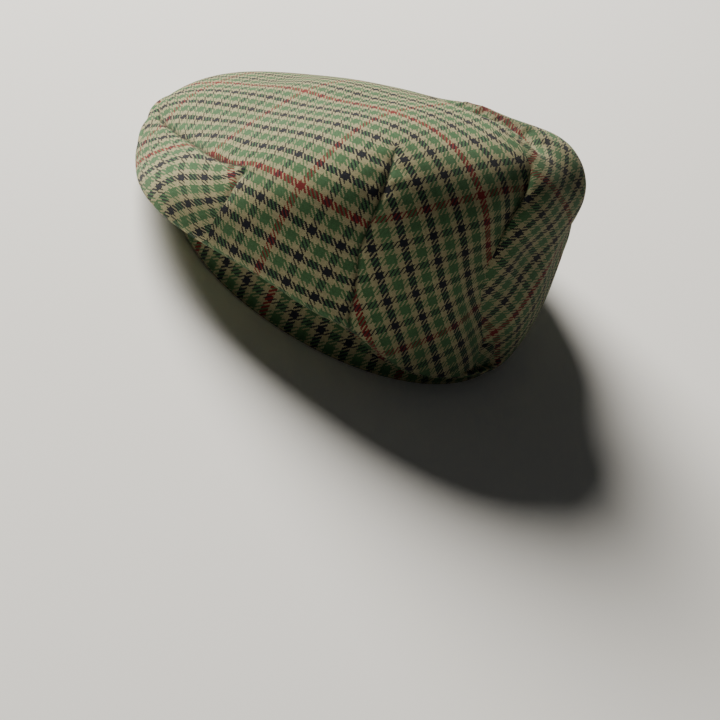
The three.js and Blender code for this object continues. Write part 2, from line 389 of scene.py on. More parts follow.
        return np.where(bent, r1, r2), np.where(bent, z1, np.where(round_, z2, z3))

    def relief(self, degrees: Array, out: Array) -> Array:
        """How far the cloth stands out of, or is drawn into, the plain skin.

        Grooves follow the sewn darts; the crease is a step with a raised lip on its far
        side; the hollow beside the ridge is crumpled; broad bells make the dips between.

        Args:
            degrees: Angles round the cap.
            out: Places from the middle of the top to the hem.

        Returns:
            Heights in millimetres.
        """
        line = self.back_dart.at(out)
        depth = sum(self.back_dart_reach.share(out)
                    * self.back_dart_groove.at(turn_between(degrees, seam) * ROUND, out)
                    for seam in (line, 180.0 - line))
        for side in (degrees, 180.0 - degrees):
            at = turn_between(side, 0.0)
            off = (out - self.front_dart.at(at)) * DOWN
            depth = depth + self.front_dart_reach.share(at) * self.front_dart_groove.at(off, at)
            off = turn_between(side, self.front_drop.at(out)) * ROUND
            depth = depth + self.front_drop_reach.share(out) * self.front_drop_groove.at(off, out)
        off = turn_between(degrees, self.crease.at(out)) * ROUND
        below = self.lap_depth.value[0] * bell(off, self.lap_under)
        depth = depth + self.lap_reach.share(out) * np.where(off < 0, below, self.lap_depth.at(off))
        width = np.where(off < 0, *self.valley_widths)
        depth = depth - self.valley * self.valley_reach.share(out) * bell(off, width)
        place = self.plain(degrees, out)
        off = self.beside_ridge(place)
        crumple = sum(height * np.sin(place[..., 1] * wave + start) for height, wave, start in self.crumples)
        hollow = self.ridge_depth.at(off) + crumple * bell(off - self.crumple_off, self.crumple_width)
        return depth + self.deep(out, place) * hollow + sum(dent.at(place) for dent in DENTS)

    def beside_ridge(self, place: Array) -> Array:
        """How far places lie to the wearer's left of the ridge over the top."""
        return place[..., 0] - self.ridge.at(place[..., 1])

    def deep(self, out: Array, place: Array) -> Array:
        """How fully the hollow beside the ridge shows, 0 at its ends and 1 along its middle.

        Args:
            out: Places from the middle of the top to the hem.
            place: The same places on the plain skin.

        Returns:
            Shares from 0 to 1.
        """
        begun = smooth((place[..., 1] - self.hollow_front) / self.hollow_rise)
        return begun * self.hollow_reach.share(out) * (place[..., 2] > self.hollow_above)

    def skin(self, degrees: Array, out: Array, laid: Array) -> Array:
        """Places on the finished skin.

        Each place moves along the plain skin's normal, the cross product of its slopes
        down and round, by the relief. Just under the widest line it moves as the widest
        line does, so that a dent doesn't fold the edge over itself.

        Args:
            degrees: Angles round the cap.
            out: Places from the middle of the top to the hem.
            laid: The angles before the cloth was lapped over the crease.

        Returns:
            Places in millimetres.
        """
        step, turn, held, eased = 0.004, 0.4, 1.05, 0.3
        at = np.where(out > 1.0, 1.0 + (out - 1.0) * smooth((out - held) / eased), out)
        past, before = np.minimum(at + step, 2.0), np.maximum(at - step, 1e-4)
        down = self.plain(degrees, past) - self.plain(degrees, before)
        round_ = self.plain(degrees + turn, at) - self.plain(degrees - turn, at)
        normal = np.cross(down, round_)
        normal /= np.linalg.norm(normal, axis=-1, keepdims=True)
        return self.plain(degrees, out) + normal * self.relief(laid, out)[..., None]

    def apex(self, inset: float = 0.0) -> Array:
        """The middle of the top.

        Args:
            inset: How far below the cloth's outer face to go.

        Returns:
            The place.
        """
        normal = np.array([0.0, -self.rake, 1.0])
        height = self.top + self.rake * self.centre_back
        return np.array([0.0, self.centre_back, height]) - inset * normal / np.linalg.norm(normal)


# ---- the cloth's lay -------------------------------------------------------------------


class FlatCloth:
    """Lays a curved sheet of triangles out flat, as rigidly as it will go.

    Places on the flat cloth are complex numbers: the real part counts across the threads
    that run front to back, the imaginary part across those that run from side to side.
    """

    edges = ((0, 1, 2), (1, 2, 0), (2, 0, 1))
    softest, stiffest = 0.02, 20.0

    def __init__(self, corners: Array, slots: Array, count: int, weight: Array, pins: Array,
                 pin_at: Array, pin_pull: float) -> None:
        """Measure each triangle and set up the spring weights.

        Args:
            corners: Corner places of each triangle, shape (n, 3, 3).
            slots: Which flat point each corner is, shape (n, 3).
            count: How many flat points there are.
            weight: How stiffly each triangle keeps its shape.
            pins: Flat points that are pulled to a known place.
            pin_at: Their places on the cloth.
            pin_pull: How hard they are pulled.
        """
        side, other = corners[:, 1] - corners[:, 0], corners[:, 2] - corners[:, 0]
        length = np.linalg.norm(side, axis=1)
        along = (side * other).sum(axis=1) / length
        across = np.linalg.norm(np.cross(side, other), axis=1) / length
        flat = np.stack([np.zeros_like(length) + 0j, length + 0j, along + 1j * across], axis=1)
        self.slots, self.count = slots, count
        self.rest = [flat[:, b] - flat[:, a] for a, b, _ in self.edges]
        self.pull = []
        for a, b, c in self.edges:
            p, q = flat[:, a] - flat[:, c], flat[:, b] - flat[:, c]
            cross = np.abs(p.real * q.imag - p.imag * q.real).clip(1e-9)
            cotangent = (p * q.conj()).real / cross
            self.pull.append(weight * cotangent.clip(self.softest, self.stiffest))
        self.pins, self.pin_at, self.pin_pull = pins, pin_at, pin_pull
        self.diagonal = self._spread([w + 0j for w in self.pull], both=True).real
        np.add.at(self.diagonal, pins, pin_pull)

    def release(self) -> None:
        """Let go of the pins."""
        np.add.at(self.diagonal, self.pins, -self.pin_pull)
        self.pin_pull = 0.0

    def _spread(self, flows: list[Array], both: bool = False) -> Array:
        """Sum a flow along each triangle edge into the points at its two ends.

        Args:
            flows: A flow for every triangle, for each of its three edges.
            both: Add the flow at both ends, instead of taking it from the first.

        Returns:
            The sum at every flat point.
        """
        total = np.zeros(self.count, dtype=complex)
        for (a, b, _), flow in zip(self.edges, flows):
            for end, sign in ((a, 1.0 if both else -1.0), (b, 1.0)):
                index = self.slots[:, end]
                total += sign * (np.bincount(index, flow.real, self.count)
                                 + 1j * np.bincount(index, flow.imag, self.count))
        return total

    def _stiffness(self, flat: Array) -> Array:
        """The springs' answer to flat places: weight times difference, summed at the points.

        Args:
            flat: Places of the flat points.

        Returns:
            The answer at every flat point.
        """
        flows = [w * (flat[self.slots[:, b]] - flat[self.slots[:, a]])
                 for (a, b, _), w in zip(self.edges, self.pull)]
        total = self._spread(flows)
        np.add.at(total, self.pins, self.pin_pull * flat[self.pins])
        return total

    def settle(self, flat: Array, rounds: int, steps: int) -> Array:
        """Turn each triangle to fit, then solve the springs by conjugate gradients, and repeat.

        Args:
            flat: The first guess.
            rounds: How many times the triangles are turned afresh.
            steps: Gradient steps in each round.

        Returns:
            The settled flat places.
        """
        for _ in range(rounds):
            edges = [flat[self.slots[:, b]] - flat[self.slots[:, a]] for a, b, _ in self.edges]
            spin = sum(w * e * r.conj() for w, e, r in zip(self.pull, edges, self.rest))
            spin /= np.abs(spin).clip(1e-12)
            target = self._spread([w * spin * r for w, r in zip(self.pull, self.rest)])
            np.add.at(target, self.pins, self.pin_pull * self.pin_at)
            residual = target - self._stiffness(flat)
            ready = residual / self.diagonal
            search, score = ready, (residual.conj() * ready).sum().real
            for _ in range(steps):
                answer = self._stiffness(search)
                step = score / (search.conj() * answer).sum().real
                flat = flat + step * search
                residual = residual - step * answer
                ready = residual / self.diagonal
                newer = (residual.conj() * ready).sum().real
                search, score = ready + newer / score * search, newer
        return flat


@dataclass(frozen=True)
class Cut:
    """A line where the lay of the cloth jumps: along grid points, seen from one side."""

    rows: Array
    columns: Array
    side_rows: tuple[int, int]
    side_columns: tuple[int, int]


@dataclass
class CrownGrid:
    """The grid of places on the crown, closer beside the seams.

    `base` and `tau` are the straight grid's columns and rows, as angles and as places from
    the middle of the top to the hem. `laid` and `out` are the same bent along the seams,
    and `angle` is where the cloth lies once it is lapped over the crease.
    """

    form: CrownForm
    columns: int = 240
    rows: int = 150
    seam_width: float = 3.0
    seam_extra: float = 1.9
    row_width: float = 6.0
    row_extra: float = 1.6
    first_out: float = 0.004
    crease_bend: float = 30.0
    dart_bend: float = 24.0
    bend_reach: Reach = Reach(0.05, 0.2, 1.15, 0.6)
    under_fade: float = 20.0
    base: Array = field(init=False)
    tau: Array = field(init=False)
    angle: Array = field(init=False)
    laid: Array = field(init=False)
    out: Array = field(init=False)

    def __post_init__(self) -> None:
        """Place the grid's columns and rows and bend them along the seams."""
        form = self.form
        corner, dart, crease = form.front_dart_ends[1], form.back_dart_column, form.crease_column
        seams = [dart, 180.0 - dart, crease, corner, 180.0 - corner, crease + 2.0, crease + 2.0]
        self.base = self._spaced(self.columns, (-90.0, 270.0), seams, self.seam_width, self.seam_extra)
        fine = np.linspace(self.first_out, 2.0, 4001)
        lengths = np.zeros_like(fine)
        meridians = range(0, 360, 15)
        for degrees in meridians:
            places = form.plain(np.full_like(fine, float(degrees)), fine)
            steps = np.linalg.norm(np.diff(places, axis=0), axis=1)
            lengths[1:] += np.cumsum(steps) / len(meridians)
        seam_at = np.interp(form.front_dart_row, fine, lengths)
        marks = self._spaced(self.rows, (0.0, lengths[-1]), [seam_at], self.row_width, self.row_extra)
        self.tau = np.interp(marks, lengths, fine)
        self.tau[-1] = 2.0
        self.laid, self.out = self._along_seams(*np.meshgrid(self.base, self.tau))
        off = turn_between(self.laid, form.crease.at(self.out)) * ROUND
        under = off + form.lap_side.value[0] * smooth(off / self.under_fade + 1.0)
        side = np.where(off < 0, under, form.lap_side.at(off))
        lap = form.lap_reach.share(self.out) * (np.abs(off) < form.lap_side.key[-1])
        self.angle = self.laid + lap * (side - off) / ROUND

    def places(self) -> Array:
        """Every grid place on the outer face, in millimetres."""
        return self.form.skin(self.angle, self.out, self.laid)

    def inner(self, places: Array) -> Array:
        """The places inset by the wall, along the grid's own normals.

        A normal is the cross product of the differences down the rows and round the
        columns.

        Args:
            places: The grid's places on the outer face.

        Returns:
            The places on the inner face.
        """
        around = np.roll(places, -1, axis=1) - np.roll(places, 1, axis=1)
        normal = np.cross(np.gradient(places, axis=0), around)
        normal /= np.linalg.norm(normal, axis=-1, keepdims=True)
        return places - self.form.wall * normal

    @staticmethod
    def _spaced(count: int, ends: tuple[float, float], seams: Sequence[float], width: float,
                extra: float) -> Array:
        """Evenly spaced marks that crowd towards the seams, with one mark on each.

        The density is 1 plus `extra` times a bell round each seam; marks lie at equal
        shares of its running sum, and the nearest mark is moved onto each seam.

        Args:
            count: How many marks there are.
            ends: Where they begin and end.
            seams: Where they crowd.
            width: How wide each crowd is.
            extra: How dense it is.

        Returns:
            The marks in rising order.
        """
        fine = np.linspace(*ends, 7201)
        crowds = (bell(fine - s, width) + 0.35 * bell(fine - s, 3 * width) for s in seams)
        density = 1.0 + extra * sum(crowds)
        total = np.concatenate([[0.0], np.cumsum((density[1:] + density[:-1]) / 2)])
        marks = np.interp(np.arange(count) / count * total[-1], total, fine)
        for seam in seams:
            marks[np.argmin(np.abs(marks - seam))] = seam
        return marks

    def _along_seams(self, angle: Array, tau: Array) -> tuple[Array, Array]:
        """Bend the grid so that a column follows each dart and crease, and a row the front darts.

        Args:
            angle: The straight grid's angles.
            tau: Its places from the middle of the top to the hem.

        Returns:
            The bent grid's angles and places.
        """
        form = self.form
        row = form.front_dart_row
        first, last = form.front_dart_ends
        fade = Reach(first - 22.0, 22.0, last, 26.0)
        hold = np.where(tau < row, tau / row, np.clip((1.0 - tau) / (1.0 - row), 0.0, 1.0))
        out = tau
        for side in (angle, 180.0 - angle):
            at = turn_between(side, 0.0)
            out = out + (form.front_dart.at(at) - row) * fade.share(at) * smooth(hold)
        crease = form.crease.at(out) - form.crease_column
        wander = crease * bump(turn_between(angle, form.crease_column), self.crease_bend)
        for seam, line in ((form.back_dart_column, form.back_dart), (last, form.front_drop)):
            shift = line.at(out) - seam
            wander = wander + shift * bump(turn_between(angle, seam), self.dart_bend)
            wander = wander - shift * bump(turn_between(angle, 180.0 - seam), self.dart_bend)
        return angle + wander * self.bend_reach.share(out), out

    def column_at(self, degrees: float) -> int:
        """The column on a seam."""
        return int(np.argmin(np.abs(turn_between(self.base, degrees))))

    def row_at(self, tau: float) -> int:
        """The row nearest to a place between the middle of the top and the hem."""
        return int(np.argmin(np.abs(self.tau - tau)))


@dataclass(frozen=True)
class Crossing:
    """Where two stripes cross on the made-up crown.

    The stripes are counted from the red ones that cross at the crown's back: lengthwise
    stripes towards the wearer's left, crosswise ones towards the back.
    """

    around: float
    out: float
    lengthwise: int
    crosswise: int


CROSSINGS = tuple(Crossing(*row) for row in (
    # around, out, lengthwise, crosswise: the top and the wearer's left
    (24, 0.10, 0, -10), (-58, 0.24, 0, -20), (25, 0.29, 4, -10), (26, 0.40, 6, -10), (-1, 0.46, 6, -20),
    (12, 0.58, 10, -14), (-6, 0.58, 10, -20), (24, 0.64, 10, -10), (24, 0.89, 14, -10),
    (-64, 0.53, 2, -30), (-49, 0.63, 6, -30), (-20, 0.56, 8, -24), (11, 0.69, 12, -14), (17, 0.87, 14, -14),
    # below the left front dart
    (-25, 0.81, 10, -28), (-26, 0.73, 10, -26), (-14, 0.69, 12, -24), (-3, 0.68, 12, -22), (6, 0.68, 12, -20),
    (-5, 0.77, 14, -24), (4, 0.77, 14, -22), (-3, 0.87, 14, -26), (3, 0.87, 16, -24), (9, 0.86, 16, -22),
    (3, 0.92, 16, -26), (2, 0.99, 16, -28), (9, 0.93, 18, -24),
    # between the left dart and the crease
    (70, 0.55, 0, 0), (51, 0.71, 6, 0), (58, 0.83, 6, 4), (69, 0.75, 2, 4), (56, 0.91, 8, 6),
    (61, 1.02, 10, 10), (72, 0.92, 4, 10), (76, 0.89, 2, 10), (76, 0.52, -2, 0), (83, 0.38, -4, -4),
    # the lapping side of the crease
    (113, 0.28, -10, -4), (121, 0.40, -14, -4), (125, 0.44, -16, -4), (94, 0.40, -10, -2),
    (106, 0.48, -14, -2), (112, 0.52, -16, -2), (88, 0.49, -10, 0), (96, 0.57, -14, 0),
    (102, 0.60, -16, 0), (85, 0.70, -14, 4),
    (95, 0.66, -16, 2), (92, 0.74, -18, 4), (83, 0.78, -16, 6), (94, 0.83, -20, 6), (88, 0.86, -18, 8),
    (96, 0.90, -20, 8), (97, 0.95, -20, 10),
))


@dataclass
class CrownLay:
    """The crown's triangles, its cuts, and where each corner falls on the flat cloth."""

    grid: CrownGrid
    stripe: float = 7.0
    red_crossing: tuple[float, float] = (33.0, 90.0)
    pull: float = 3.0
    tucked_from: float = 1.12
    tucked_weight: float = 0.1
    spread: float = 0.6
    held: tuple[int, int] = (60, 40)
    relaxed: tuple[int, int] = (2, 6)
    points: Array = field(init=False)
    quads: Array = field(init=False)
    fan: Array = field(init=False)
    quad_slots: Array = field(init=False)
    fan_slots: Array = field(init=False)
    flat: Array = field(init=False)

    def __post_init__(self) -> None:
        """Number the corners and open the cuts."""
        grid = self.grid
        rows, columns = len(grid.tau), len(grid.base)
        self.points = np.concatenate([grid.places().reshape(-1, 3), grid.form.apex()[None]])
        self.pole = rows * columns
        self.quads = ring_faces(rows, columns)[:(rows - 1) * columns]
        self.quad_row, self.quad_column = self.quads[:, 0] // columns, self.quads[:, 0] % columns
        ring = np.arange(columns)
        self.fan = np.stack([np.full(columns, self.pole), ring, (ring + 1) % columns], axis=1)
        self.quad_slots, self.count = self.quads.copy(), self.pole + 1
        for cut in self.cuts():
            self._open(cut)

    def cuts(self) -> list[Cut]:
        """The two back darts, the crease and the two front darts, each to the hem.

        A front dart drops from its back end to the hem; its front end stays whole.

        Returns:
            The cuts.
        """
        grid, form = self.grid, self.grid.form
        last = len(grid.tau)
        dart, dart_from = form.back_dart_column, form.back_dart_reach.start
        found = []
        straight = ((dart, dart_from), (180.0 - dart, dart_from), (form.crease_column, form.crease_from))
        for degrees, out in straight:
            at, first = grid.column_at(degrees), grid.row_at(out)
            rows = np.arange(first + 1, last)
            found.append(Cut(rows, np.full_like(rows, at), (first, last), (at, at + 6)))
        row = grid.row_at(form.front_dart_row)
        down = np.arange(row + 1, last)
        for mirrored in (False, True):
            tip, corner = (grid.column_at(180.0 - a if mirrored else a) for a in form.front_dart_ends)
            level = np.arange(corner, tip) if mirrored else np.arange(tip + 1, corner + 1)
            rows = np.concatenate([np.full_like(level, row), down])
            columns = np.concatenate([level, np.full_like(down, corner)])
            found.append(Cut(rows, columns, (row, last), (min(tip, corner), max(tip, corner))))
        return found

    def _open(self, cut: Cut) -> None:
        """Give the points on a cut a second slot, for the quads on its marked side.

        Args:
            cut: The cut to open.
        """
        columns = len(self.grid.base)
        fresh = np.full(self.pole + 1, -1)
        fresh[cut.rows * columns + cut.columns] = self.count + np.arange(len(cut.rows))
        self.count += len(cut.rows)
        side = ((self.quad_row >= cut.side_rows[0]) & (self.quad_row < cut.side_rows[1])
                & (self.quad_column >= cut.side_columns[0]) & (self.quad_column < cut.side_columns[1]))
        change = side[:, None] & (fresh[self.quads] >= 0)
        self.quad_slots[change] = fresh[self.quads][change]

    def _pins(self) -> tuple[Array, Array]:
        """The charted crossings.

        Returns:
            The grid points nearest to them, and their places on the flat cloth.
        """
        grid = self.grid
        found, places = [], []
        for crossing in CROSSINGS:
            along = turn_between(grid.laid, crossing.around) * ROUND
            found.append(int(np.argmin(np.hypot(along, (grid.out - crossing.out) * DOWN))))
            places.append(self.stripe * complex(crossing.lengthwise, crossing.crosswise))
        return np.array(found), np.array(places)

    def flatten(self) -> None:
        """Settle the cloth flat with its charted crossings held, then let it relax.

        The first guess is the cap seen from above, grown by 1 + spread x out cubed. The
        tucked cloth is given little weight, because it is gathered. `held` and `relaxed`
        are the rounds and the gradient steps with the crossings held and let go.
        """
        tri_points = np.concatenate([self.quads[:, [0, 1, 2]], self.quads[:, [0, 2, 3]], self.fan])
        tri_slots = np.concatenate([self.quad_slots[:, [0, 1, 2]], self.quad_slots[:, [0, 2, 3]], self.fan])
        used, tri_slots = np.unique(tri_slots, return_inverse=True)
        tri_slots = tri_slots.reshape(-1, 3)
        renumber = np.full(self.count, -1)
        renumber[used] = np.arange(len(used))
        self.quad_slots = renumber[self.quad_slots]
        self.fan_slots = renumber[self.fan]
        home = np.zeros(len(used), dtype=int)
        home[tri_slots.ravel()] = tri_points.ravel()
        out = np.append(self.grid.out.ravel(), 0.0)
        start = self.points[home, 0] + 1j * self.points[home, 1]
        start = start * (1.0 + self.spread * out[home] ** 3) - complex(*self.red_crossing)
        tucked = out[tri_points].mean(axis=1) > self.tucked_from
        pins, places = self._pins()
        cloth = FlatCloth(self.points[tri_points], tri_slots, len(used),
                          np.where(tucked, self.tucked_weight, 1.0), renumber[pins], places, self.pull)
        self.flat = cloth.settle(start, *self.held)
        cloth.release()
        self.flat = cloth.settle(self.flat, *self.relaxed)


# ---- meshes ----------------------------------------------------------------------------


def make_mesh(name: str, points: Array, faces: Sequence[Array], cloth: Array,
              seam: Array | None = None) -> bpy.types.Object:
    """Put arrays of places and faces into a new mesh object.

    Args:
        name: The piece's name.
        points: Places in metres, shape (n, 3).
        faces: Arrays of corner numbers, one array for each count of corners.
        cloth: A complex place on the flat cloth for every face corner, in metres.
        seam: Painted shade at every point, below 0 where it is a painted highlight, if the piece has any.

    Returns:
        The object, linked to the scene.
    """
    corners = np.concatenate([f.ravel() for f in faces]).astype(np.int32)
    totals = np.concatenate([np.full(len(f), f.shape[1]) for f in faces]).astype(np.int32)
    starts = np.concatenate([[0], np.cumsum(totals)[:-1]]).astype(np.int32)
    mesh = bpy.data.meshes.new(name)
    mesh.vertices.add(len(points))
    mesh.vertices.foreach_set("co", points.astype(np.float32).ravel())
    mesh.loops.add(len(corners))
    mesh.loops.foreach_set("vertex_index", corners)
    mesh.polygons.add(len(totals))
    mesh.polygons.foreach_set("loop_start", starts)
    mesh.polygons.foreach_set("loop_total", totals)
    mesh.polygons.foreach_set("use_smooth", np.ones(len(totals), dtype=bool))
    layer = mesh.uv_layers.new(name="cloth")
    layer.data.foreach_set("uv", np.stack([cloth.real, cloth.imag], axis=1).astype(np.float32).ravel())
    shades = np.zeros(len(points)) if seam is None else seam
    # the seam attribute carries painted shade and painted highlight to the material
    mesh.attributes.new("seam", "FLOAT", "POINT").data.foreach_set("value", shades.astype(np.float32))
    mesh.update(calc_edges=True)
    mesh.validate()
    piece = bpy.data.objects.new(name, mesh)
    bpy.context.scene.collection.objects.link(piece)
    return piece


def ring_faces(rows: int, columns: int) -> Array:
    """Quads of a grid that closes on itself round its columns and round its rows.

    Args:
        rows: How many rows the grid has.
        columns: How many columns.

    Returns:
        Four corner numbers for each quad, row by row.
    """
    row, column = (a.ravel() for a in np.mgrid[0:rows, 0:columns])
    after, below = (column + 1) % columns, (row + 1) % rows
    return np.stack([row * columns + column, below * columns + column, below * columns + after,
                     row * columns + after], axis=1)


# ---- materials -------------------------------------------------------------------------


class Graph:
    """A material's nodes, made one at a time from their type, settings and inputs."""

    def __init__(self, name: str) -> None:
        """Start an empty material."""
        self.material = bpy.data.materials.new(name)
        self.material.use_nodes = True
        self.tree = self.material.node_tree
        self.tree.nodes.clear()

    def node(self, kind: str, settings: dict | None = None, inputs: dict | None = None) -> bpy.types.Node:
        """Make a node.

        Args:
            kind: The node's type.
            settings: Its settings, set before its inputs; "stops" fills a colour ramp.
            inputs: Values or links by socket name or number.

        Returns:
            The node.
        """
        made = self.tree.nodes.new(kind)
        for key, value in (settings or {}).items():
            if key == "stops":
                ramp = made.color_ramp.elements
                while len(ramp) < len(value):
                    ramp.new(0.5)
                for stop, (at, colour) in zip(ramp, value):
                    stop.position, stop.color = at, colour
            else:
                setattr(made, key, value)
        for key, value in (inputs or {}).items():
            self.feed(made.inputs[key], value)
        return made

    def feed(self, socket: bpy.types.NodeSocket, value: object) -> None:
        """Link a value or a socket into a socket, or set it to a plain number or colour.

        Args:
            socket: The socket to feed.
            value: What goes in.
        """
        if isinstance(value, Value):
            value = value.socket
        if isinstance(value, bpy.types.NodeSocket):
            self.tree.links.new(value, socket)
        else:
            socket.default_value = value

    def value(self, kind: str, settings: dict | None = None, inputs: dict | None = None,
              out: int | str = 0) -> "Value":
        """Make a node and wrap one of its outputs."""
        return Value(self, self.node(kind, settings, inputs).outputs[out])

    def mix(self, first: object, second: object, share: object, blend: str = "MIX") -> "Value":
        """Mix two colours.

        Args:
            first: The colour at share 0.
            second: The colour at share 1.
            share: How much of the second there is.
            blend: How they blend.

        Returns:
            The mixed colour.
        """
        made = self.node("ShaderNodeMix", {"data_type": "RGBA", "blend_type": blend, "clamp_factor": True},
                         {0: share, 6: first, 7: second})
        return Value(self, made.outputs[2])


def operators(operation: str) -> tuple[Callable, Callable]:
    """An operator on values and its reflected form.

    Args:
        operation: The Math node's operation.

    Returns:
        The method for "value, other" and the one for "other, value".
    """
    def plain_form(self: "Value", other: object) -> "Value":
        """Work on self and other."""
        return self.math(operation, self, other)

    def reflected(self: "Value", other: object) -> "Value":
        """Work on other and self."""
        return self.math(operation, other, self)

    return plain_form, reflected


class Value:
    """A number in a shader; Python's operators on it add Math nodes."""

    __add__, __radd__ = operators("ADD")
    __sub__, __rsub__ = operators("SUBTRACT")
    __mul__, __rmul__ = operators("MULTIPLY")
    __truediv__, __rtruediv__ = operators("DIVIDE")
    __mod__, __rmod__ = operators("FLOORED_MODULO")
    __pow__, __rpow__ = operators("POWER")
    __lt__, __gt__ = operators("LESS_THAN")[0], operators("GREATER_THAN")[0]

    def __init__(self, graph: Graph, socket: bpy.types.NodeSocket) -> None:
        """Wrap a socket."""
        self.graph, self.socket = graph, socket

    def math(self, operation: str, *operands: object) -> "Value":
        """Add a Math node that works on the operands."""
        return self.graph.value("ShaderNodeMath", {"operation": operation}, dict(enumerate(operands)))

    def floor(self) -> "Value":
        """The whole number below."""
        return self.math("FLOOR", self)

    def fract(self) -> "Value":
        """What is left above the whole number below."""
        return self.math("FRACT", self)


@dataclass(frozen=True)
class Dye:
    """A yarn colour, as linear red, green and blue."""

    red: float
    green: float
    blue: float

    def rgba(self) -> tuple[float, float, float, float]:
        """The colour with full cover."""
        return (self.red, self.green, self.blue, 1.0)


